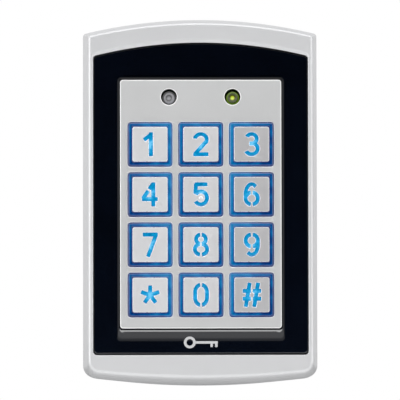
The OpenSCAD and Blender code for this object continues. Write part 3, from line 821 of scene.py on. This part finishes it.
def make_housing():
    shell = mesh_object("housing_shell", build_housing, merge=False)
    combine(shell, mesh_object("bosses", build_bosses, merge=False), "UNION")
    combine(shell, mesh_object("cuts", build_cuts, merge=False), "DIFFERENCE")
    shell.data.materials.clear()
    shell.data.materials.append(PAINT)
    for face in shell.data.polygons:
        face.material_index = 0
    shade(shell)
    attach(shell, "reader")
    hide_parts("front_housing")
    return shell


PLATE_W, PLATE_H = PLATE.right - PLATE.left, PLATE.top - PLATE.bottom
FRAME_HW, FRAME_HH = PLATE_W / 2 + GAP, PLATE_H / 2 + GAP
OPEN_W, OPEN_H = PLATE_W - 2 * LEDGE, PLATE_H - 2 * LEDGE
MATCHED = (8, 48, 12)


def build_bezel(bm):
    """The frame's whole cross-section, carried round the window, and its six posts."""
    crest = BEZEL_D + RAMP_H
    tail_h = RAMP_H - CREST_H
    pocket_d = PLATE.back - TAPE
    ledge_d = BEZEL.back + 2.7
    flange_d = INNER_D - FLANGE_T
    flange_in = FLANGE_OUT - FLANGE_W

    def edge(i):
        return window_outline(-GAP - i, -BEZEL_GAP - i, -BEZEL_GAP - i)

    def around(side, low, r):
        """The keypad's frame, grown by low at its bottom and by side elsewhere."""
        return arched(FRAME_HW + side, PLATE_Z + FRAME_HH + side, PLATE_Z - FRAME_HH - low, 0, 0, r, r)

    def opening(grow, r):
        return rect(OPEN_W + grow, OPEN_H + grow, r, 0, PLATE_Z, MATCHED)

    levels = rounding(edge, BEZEL_D, BEZEL_EDGE, 6)
    for i in range(RAMP_STEPS + 1):
        rise = i / RAMP_STEPS
        side = SIDE_RAMP_W + (SIDE_CREST_W - SIDE_RAMP_W) * rise
        low = RAMP_W + (CREST_W - RAMP_W) * rise
        levels.append((around(side, low, 1.1), BEZEL_D + tail_h * rise ** 2))
    levels += [(around(SIDE_CREST_W - 0.04, CREST_W - 0.06, 1.1), BEZEL_D + tail_h + 0.025),
               (around(0.14, 0.44, 1.0), crest - 0.025), (around(0.1, 0.38, 1.0), crest - 0.005),
               (around(0.06, 0.3, 1.0), crest - 0.01), (around(0.03, 0.22, 0.95), crest - 0.08),
               (around(0.0, 0.0, 0.9), crest - 0.3), (around(0.0, 0.0, 0.9), pocket_d)]
    levels += [(opening(0.2, 1.1), pocket_d), (opening(0.0, 1.0), pocket_d - 0.1),
               (opening(0.0, 1.0), ledge_d), (opening(3.2, 2.0), ledge_d), (opening(3.2, 2.0), INNER_D)]
    levels += [(window_outline(flange_in), INNER_D), (window_outline(flange_in), flange_d),
               (window_outline(FLANGE_OUT), flange_d), (window_outline(FLANGE_OUT), INNER_D),
               (edge(0.0), INNER_D)]
    stack(bm, levels, closed=True)
    for side in (-1, 1):
        for row in (-36, 0, 36):
            post = [(0.95, BEZEL.back), (0.95, INNER_D - 0.6), (0.9, INNER_D - 0.6), (2.3, INNER_D + 0.3),
                    (2.4, INNER_D), (2.4, BEZEL.back)]
            stack(bm, [(circle(r, side * 31.2, PLATE_Z + row), d) for r, d in post], closed=True)


# ---- Keypad ----


def build_plate(bm):
    """Plate with a rounded front edge, pierced for the keys and the two lights."""
    contours = [rect(PLATE_W, PLATE_H, 0.9, 0, PLATE_Z)]
    for x, z in CENTRES.values():
        contours.append(rect(KEY_W + 2 * GAP, KEY_H + 2 * GAP, KEY_R + GAP, x, z))
    for side in (-1, 1):
        contours.append(circle(LED_HOLE_R, side * LED_X, LED_Z))
    slab(bm, contours, PLATE.back, PLATE.front, edge=0.28, steps=4, mats=(0, 1, 0))


def build_cap(bm, key):
    """Cap with its symbol cut through it, and on key 5 the raised dot."""
    contours = [rect(CAP_W, CAP_H, CAP_R)] + symbol_loops(key, 0.0)
    slab(bm, contours, CAP.back, CAP.front, edge=0.12, mats=(0, 1, 0))
    if key == "5":
        dome = [(circle(DOT_R, 0, DOT_Z, 24), CAP.front - DOT_H)]
        for i in range(6):
            a = math.radians(15 * i)
            outline = circle(DOT_R * math.cos(a) + 0.001, 0, DOT_Z, 24)
            dome.append((outline, CAP.front + DOT_H * math.sin(a)))
        stack(bm, dome)


def build_lens(bm, key):
    """Flange, body, rounded rim, seat for the cap and a hollow back; then the stem, and the lit symbol."""
    flange_front = PLATE.back - 0.1
    flange_back = flange_front - LENS_FLANGE_T
    roof = flange_front + 0.3
    slack = 0.05
    lead_in = 0.3
    stem_r = 1.7

    def body(i):
        return rect(KEY_W - 2 * i, KEY_H - 2 * i, max(KEY_R - i, 0.4))

    def seat(grow):
        g = slack + grow
        return rect(CAP_W + 2 * g, CAP_H + 2 * g, CAP_R + g)

    flange = rect(KEY_W + 2 * LENS_FLANGE, KEY_H + 2 * LENS_FLANGE, KEY_R)
    hollow = rect(KEY_W - 2, KEY_H - 2, 1.0)
    levels = [(hollow, roof), (hollow, flange_back), (flange, flange_back), (flange, flange_front),
              (body(0.0), flange_front)]
    levels += rounding(body, RIM_D, 0.45, 5)
    levels += [(seat(lead_in), RIM_D), (seat(0.09), RIM_D - 0.09), (seat(0.0), RIM_D - lead_in),
               (seat(0.0), CAP.back)]
    stack(bm, levels)
    stack(bm, [(circle(stem_r), LENSES[key].back), (circle(stem_r), roof + 0.4)])
    for loop in symbol_loops(key, slack):
        slab(bm, [loop], CAP.back - 0.3, CAP.front - 0.2, edge=0.1, steps=2, mats=(1, 1, 1))


LED_BOX = mm_box("status_led_left")
LED_Z = (LED_BOX.top + LED_BOX.bottom) / 2
LED_R = 2.4
LED_FLANGE_R = 2.8
LED_BASE = LED_BOX.back + 3.1
LEAD_X = 1.27
LEAD_W = 0.5
# The unlit LED glows with painted reflections of its cup and chip, and its rim carries painted shadow and
# a painted highlight.
LED_CLEAR = lamp("led_clear",
                 [(0.0, (0.30, 0.30, 0.32)), (0.20, (0.20, 0.20, 0.21)), (0.29, (0.045, 0.045, 0.05)),
                  (0.38, (0.22, 0.22, 0.23)), (0.52, (0.27, 0.27, 0.29)), (0.66, (0.11, 0.11, 0.12)),
                  (0.84, (0.05, 0.05, 0.055))],
                 [(0.52, (0.2, 0.2, 0.2, 0)), (0.62, (0.02, 0.02, 0.02, 1)), (0.68, (0.10, 0.10, 0.10, 1)),
                  (0.73, (0.06, 0.06, 0.06, 1)), (0.79, (0.001, 0.001, 0.001, 1))])
# The lit LED's glow is its own light; its rim carries painted shadow and a painted highlight.
LED_GREEN = lamp("led_green",
                 [(0.0, (0.66, 0.82, 0.10)), (0.17, (0.50, 0.62, 0.02)), (0.26, (0.05, 0.06, 0.001)),
                  (0.42, (0.05, 0.06, 0.01)), (0.55, (0.06, 0.064, 0.02)), (0.68, (0.01, 0.012, 0.004))],
                 [(0.42, (0.04, 0.08, 0.002, 0)), (0.52, (0.02, 0.045, 0.001, 1)),
                  (0.62, (0.14, 0.22, 0.01, 1)), (0.68, (0.06, 0.11, 0.003, 1)),
                  (0.74, (0.001, 0.002, 0.0, 1))])


def build_led(bm):
    """Domed body on its flange, with two leads."""
    levels = [(circle(LED_FLANGE_R), LED_BASE), (circle(LED_FLANGE_R), LED_BASE + 0.85),
              (circle(LED_FLANGE_R - 0.1), LED_BASE + 1.0), (circle(LED_R), LED_BASE + 1.0)]
    steps = 12
    for i in range(steps):
        a = math.radians(90 * i / steps)
        levels.append((circle(LED_R * math.cos(a)), LED_BOX.front - LED_R + LED_R * math.sin(a)))
    levels.append((circle(0.05), LED_BOX.front))
    stack(bm, levels)
    for side in (-1, 1):
        lead = rect(LEAD_W, LEAD_W, 0.05, side * LEAD_X, 0, (2, 1, 1))
        stack(bm, [(lead, LED_BOX.back), (lead, LED_BASE + 0.2)])


MARK_Z = PLATE_Z - 44.4
MARK_RING_X = -3.6


def build_mark(bm):
    """A plain key raised on the frame: a ring, a shaft and two teeth."""
    shaft = rect(7.6, 0.8, 0.2, 1.6, 0, (3, 1, 1))
    teeth = [rect(0.8, 1.5, 0.15, x, -0.75, (3, 1, 1)) for x in (3.4, 4.9)]
    loops = union([circle(1.9, MARK_RING_X), shaft] + teeth)
    outer = max(loops, key=lambda loop: abs(area(loop)))
    contours = [outer if area(outer) > 0 else outer[::-1], circle(1.05, MARK_RING_X, steps=32)]
    slab(bm, contours, BEZEL_D - 0.02, BEZEL_D + 0.14, edge=0.04, steps=1)


# ---- Back ----

SHEET_T = 1.5
SHEET_HOLES = [(x, z) for x in (-25, 25) for z in (-42, 42)]
SHEET_HOLE_R = 2.25
SLOT_X = 30
CABLE_HOLE_R = 11
CABLE_HOLE_Z = 16
HOOK_W = 8
HOOK = [(1.0, 52.6), (6.2, 52.6), (6.4, 52.8), (6.4, 54.9), (6.2, 55.1), (5.3, 55.1), (5.1, 54.9),
        (5.1, 54.4), (4.8, 54.1), (1.0, 54.1)]
TAB_W = 12
TAB_Z = -55.6
TAB_TIP = SCREW_D + 4.0
TAB = [(1.0, TAB_Z), (TAB_TIP - 0.2, TAB_Z), (TAB_TIP, TAB_Z + 0.2), (TAB_TIP, TAB_Z + 1.3),
       (TAB_TIP - 0.2, TAB_Z + 1.5), (1.0, TAB_Z + 1.5)]


def build_wall_plate(bm):
    """Sheet with its four screw holes, two slots and the cable's hole."""
    contours = [body_outline(SHEET_T, WALL + 0.4)]
    contours += [circle(SHEET_HOLE_R, x, z, 32) for x, z in SHEET_HOLES]
    contours += [rect(8.0, 4.2, 2.09, side * SLOT_X, 0) for side in (-1, 1)]
    contours.append(circle(CABLE_HOLE_R, 0, CABLE_HOLE_Z, 64))
    slab(bm, contours, 0.0, SHEET_T, edge=0.15, back_edge=0.2, mats=(0, 1, 1))


def bent(bm, x, width, profile):
    """A bent strip centred at x, from its side view as (depth, z) points."""
    sides = [[bm.verts.new((x + end * width / 2, -d, z)) for d, z in profile] for end in (-1, 1)]
    bridge(bm, *sides)
    bm.faces.new(sides[0])
    bm.faces.new(sides[1])


def build_hooks(bm):
    for side in (-1, 1):
        bent(bm, side * HOOK_X, HOOK_W, HOOK)
    bent(bm, 0, TAB_W, TAB)


GROMMET = mm_box("cable_grommet")
BORE_R = 3.25


def build_grommet(bm):
    """Grooved ring with rounded lips."""
    cz = (GROMMET.top + GROMMET.bottom) / 2
    outer = (GROMMET.right - GROMMET.left) / 2
    groove = BORE_R + 1.8
    lip = 0.8
    k = 0.2
    back, front = GROMMET.back, GROMMET.front
    profile = [(BORE_R, back + k), (BORE_R + k, back), (outer - k, back), (outer, back + k),
               (outer, back + lip), (groove, back + lip), (groove, front - lip), (outer, front - lip),
               (outer, front - k), (outer - k, front), (BORE_R + k, front), (BORE_R, front - k)]
    stack(bm, [(circle(r, 0, cz, 64), d) for r, d in profile], closed=True)


def build_security_screw(bm):
    """Button head with a six-sided socket, and its shank."""
    r0, r1, h = SCREW_HEAD_R, SCREW_SHANK_R, SCREW_HEAD_H
    z0 = SCREW_BOX.bottom
    profile = [(r0 - 0.7, 0.0), (r0 - 0.3, 0.08), (r0 - 0.08, 0.3), (r0, 0.6), (r0, h), (r1, h),
               (r1, h + 3.9), (r1 - 0.25, h + 4.2)]
    rings = turned(bm, SCREW_D, [(r, z0 + z) for r, z in profile])
    bm.faces.new(rings[-1])
    steps = len(rings[0])
    socket = []
    for z in (0.0, 0.8):
        points = []
        for i in range(steps):
            a = 2 * math.pi * i / steps
            r = 1.0 / math.cos((a % (math.pi / 3)) - math.pi / 6)
            points.append(bm.verts.new((r * math.cos(a), r * math.sin(a) - SCREW_D, z0 + z)))
        socket.append(points)
    bridge(bm, rings[0], socket[0])
    bridge(bm, *socket)
    bm.faces.new(socket[1])


# ---- Assembly ----

housing_shell = make_housing()
bezel_frame = piece("bezel_frame", "reader", build_bezel, [GLOSS], "bezel")
keypad_face = piece("keypad_face", "reader", build_plate, [PLATE_METAL, PLATE_EDGE_HIGHLIGHT],
                    "keypad_plate")
piece("key_mark", "reader", build_mark, [MARK], None, at=(0, MARK_Z))
for index, key in enumerate(KEYS):
    piece(f"cap_{key}", f"key_{key}", lambda bm, k=key: build_cap(bm, k), [CAP_METAL_PAINTED_LIGHT[index % 3], CAP_EDGE_HIGHLIGHT],
          f"key_cap_{key}", at=CENTRES[key])
    piece(f"lens_{key}", f"key_{key}", lambda bm, k=key: build_lens(bm, k), [LENS[index % 3], SYMBOL],
          f"key_lens_{key}", at=CENTRES[key])
led_left = piece("led_left", "reader", build_led, [LED_CLEAR], "status_led_left",
                 at=(-LED_X, LED_Z))
led_right = piece("led_right", "reader", build_led, [LED_GREEN], "status_led_right",
                  at=(LED_X, LED_Z))
piece("wall_sheet", "reader", build_wall_plate, [STEEL, STEEL_EDGE], "wall_plate")
piece("wall_hooks", "reader", build_hooks, [STEEL], "wall_plate")
piece("grommet_ring", "reader", build_grommet, [RUBBER], "cable_grommet")
piece("tamper_screw", "reader", build_security_screw, [SCREW], "security_screw")

for name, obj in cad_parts.items():
    material = PLUNGER if name.startswith("switch_plunger") else INNER.get(name)
    if material:
        obj.data.materials.clear()
        obj.data.materials.append(material)

# ---- Camera, light and floor ----

scene = bpy.context.scene
scene.view_settings.view_transform = "Standard"
VIEW_AZ, VIEW_EL, VIEW_ROLL = -0.75, -1.8, -0.1
DISTANCE = 0.9
SEEN_WIDTH = 0.13128
AIM = Vector((0.0, 0.0, 0.0008))
SENSOR = 36

camera = bpy.data.objects.new("camera", bpy.data.cameras.new("camera"))
scene.collection.objects.link(camera)
az, el = math.radians(VIEW_AZ), math.radians(VIEW_EL)
back = Vector((math.sin(az) * math.cos(el), -math.cos(az) * math.cos(el), math.sin(el)))
roll = Matrix.Rotation(math.radians(VIEW_ROLL), 3, "Z").to_quaternion()
camera.rotation_mode = "QUATERNION"
camera.location = AIM + back * DISTANCE
camera.rotation_quaternion = (-back).to_track_quat("-Z", "Y") @ roll
camera.data.sensor_width = SENSOR
camera.data.lens = SENSOR * DISTANCE / SEEN_WIDTH
camera.data.clip_start = 0.01
scene.camera = camera


def softbox(name, place, size, power, target=(0, 0, 0)):
    light = bpy.data.lights.new(name, "AREA")
    light.shape = "RECTANGLE"
    light.size, light.size_y = size
    light.energy = power
    obj = bpy.data.objects.new(name, light)
    scene.collection.objects.link(obj)
    obj.location = place
    obj.rotation_mode = "QUATERNION"
    obj.rotation_quaternion = (Vector(target) - Vector(place)).to_track_quat("-Z", "Y")
    return obj


def reach(light, pieces, state="INCLUDE"):
    """Makes a light reach the given pieces alone, or all but them."""
    group = bpy.data.collections.new(f"{light.name}_reach")
    for target in pieces:
        group.objects.link(target)
    light.light_linking.receiver_collection = group
    for linked in group.collection_objects:
        linked.light_linking.link_state = state


top = softbox("top_softbox", (0.0, -0.80, 0.80), (1.3, 0.5), 7.6)
left = softbox("left_softbox", (-0.95, -0.62, 0.05), (0.8, 1.2), 8.3)
right = softbox("right_softbox", (0.95, -0.62, 0.05), (0.8, 1.2), 6.0)
for light in (top, left, right):
    reach(light, [bezel_frame, led_left, led_right], "EXCLUDE")
low = softbox("low_softbox", (0.0, -0.11, -0.20), (0.5, 0.06), 0.14, target=(0.0, -0.02, -0.06))
reach(low, [housing_shell, keypad_face])

# Cards that show in the gloss of the frame's ramp and crest, at an angle below the eye, with a radiance.
CARDS = {"gleam_card": (33.0, 8.5), "sheen_card": (17.0, 0.5)}
CARD_W, CARD_H = 0.4, 0.05
CARD_AWAY = 0.2
for name, (below, radiance) in CARDS.items():
    angle = math.radians(below)
    foot = Vector((0.0, -BEZEL_D * MM, (PLATE.bottom - 2.0) * MM))
    spot = foot + Vector((0.0, -math.cos(angle), -math.sin(angle))) * CARD_AWAY
    card = softbox(name, spot, (CARD_W, CARD_H), radiance * math.pi * CARD_W * CARD_H, foot)
    reach(card, [bezel_frame])


def make_world():
    """White to the camera; for light, a bright room that is dark behind the camera."""
    world = bpy.data.worlds.new("studio")
    world.use_nodes = True
    tree = world.node_tree
    tree.nodes.clear()
    out = tree.nodes.new("ShaderNodeOutputWorld")
    mix = tree.nodes.new("ShaderNodeMixShader")
    path = tree.nodes.new("ShaderNodeLightPath")
    seen = tree.nodes.new("ShaderNodeBackground")
    lit = tree.nodes.new("ShaderNodeBackground")
    place = tree.nodes.new("ShaderNodeTexCoord")
    split = tree.nodes.new("ShaderNodeSeparateXYZ")
    tree.links.new(place.outputs["Generated"], split.inputs[0])
    room = ramp(tree, between(tree, split.outputs["Y"], 0.0, 1.0, -1.0, 1.0),
                [(0.0, (0.003, 0.003, 0.004)), (0.075, (0.02, 0.02, 0.022)), (0.15, (0.55, 0.55, 0.56)),
                 (0.5, (1.35, 1.35, 1.36)), (1.0, (1.35, 1.35, 1.36))])
    tree.links.new(room, lit.inputs["Color"])
    lit.inputs["Strength"].default_value = 0.62
    seen.inputs["Color"].default_value = (1, 1, 1, 1)
    tree.links.new(path.outputs["Is Camera Ray"], mix.inputs[0])
    tree.links.new(lit.outputs[0], mix.inputs[1])
    tree.links.new(seen.outputs[0], mix.inputs[2])
    tree.links.new(mix.outputs[0], out.inputs["Surface"])
    scene.world = world


FLOOR_DROP = 160.0


def make_floor():
    """Plain matt floor that the light bounces off, brighter in front and darker behind as painted shade;
    the camera sees through it.
    """
    bm = bmesh.new()
    bmesh.ops.create_grid(bm, x_segments=8, y_segments=8, size=3.0)
    mesh = bpy.data.meshes.new("floor")
    bm.to_mesh(mesh)
    bm.free()
    material, tree, bsdf = nodes_of("floor_painted_shade")
    split = tree.nodes.new("ShaderNodeSeparateXYZ")
    tree.links.new(tree.nodes.new("ShaderNodeTexCoord").outputs["Object"], split.inputs[0])
    # Painted shade: the floor is darker behind the object than in front.
    tint = ramp(tree, between(tree, split.outputs["Y"], 0.0, 1.0, -0.15, 0.05),
                [(0.0, (0.75, 0.75, 0.75)), (1.0, (0.30, 0.30, 0.30))])
    tree.links.new(tint, bsdf.inputs["Base Color"])
    bsdf.inputs["Roughness"].default_value = 0.8
    mesh.materials.append(material)
    floor = bpy.data.objects.new("floor", mesh)
    scene.collection.objects.link(floor)
    floor.location = (0, 0, (HOUSING.bottom - FLOOR_DROP) * MM)
    floor.visible_camera = False


make_world()
make_floor()
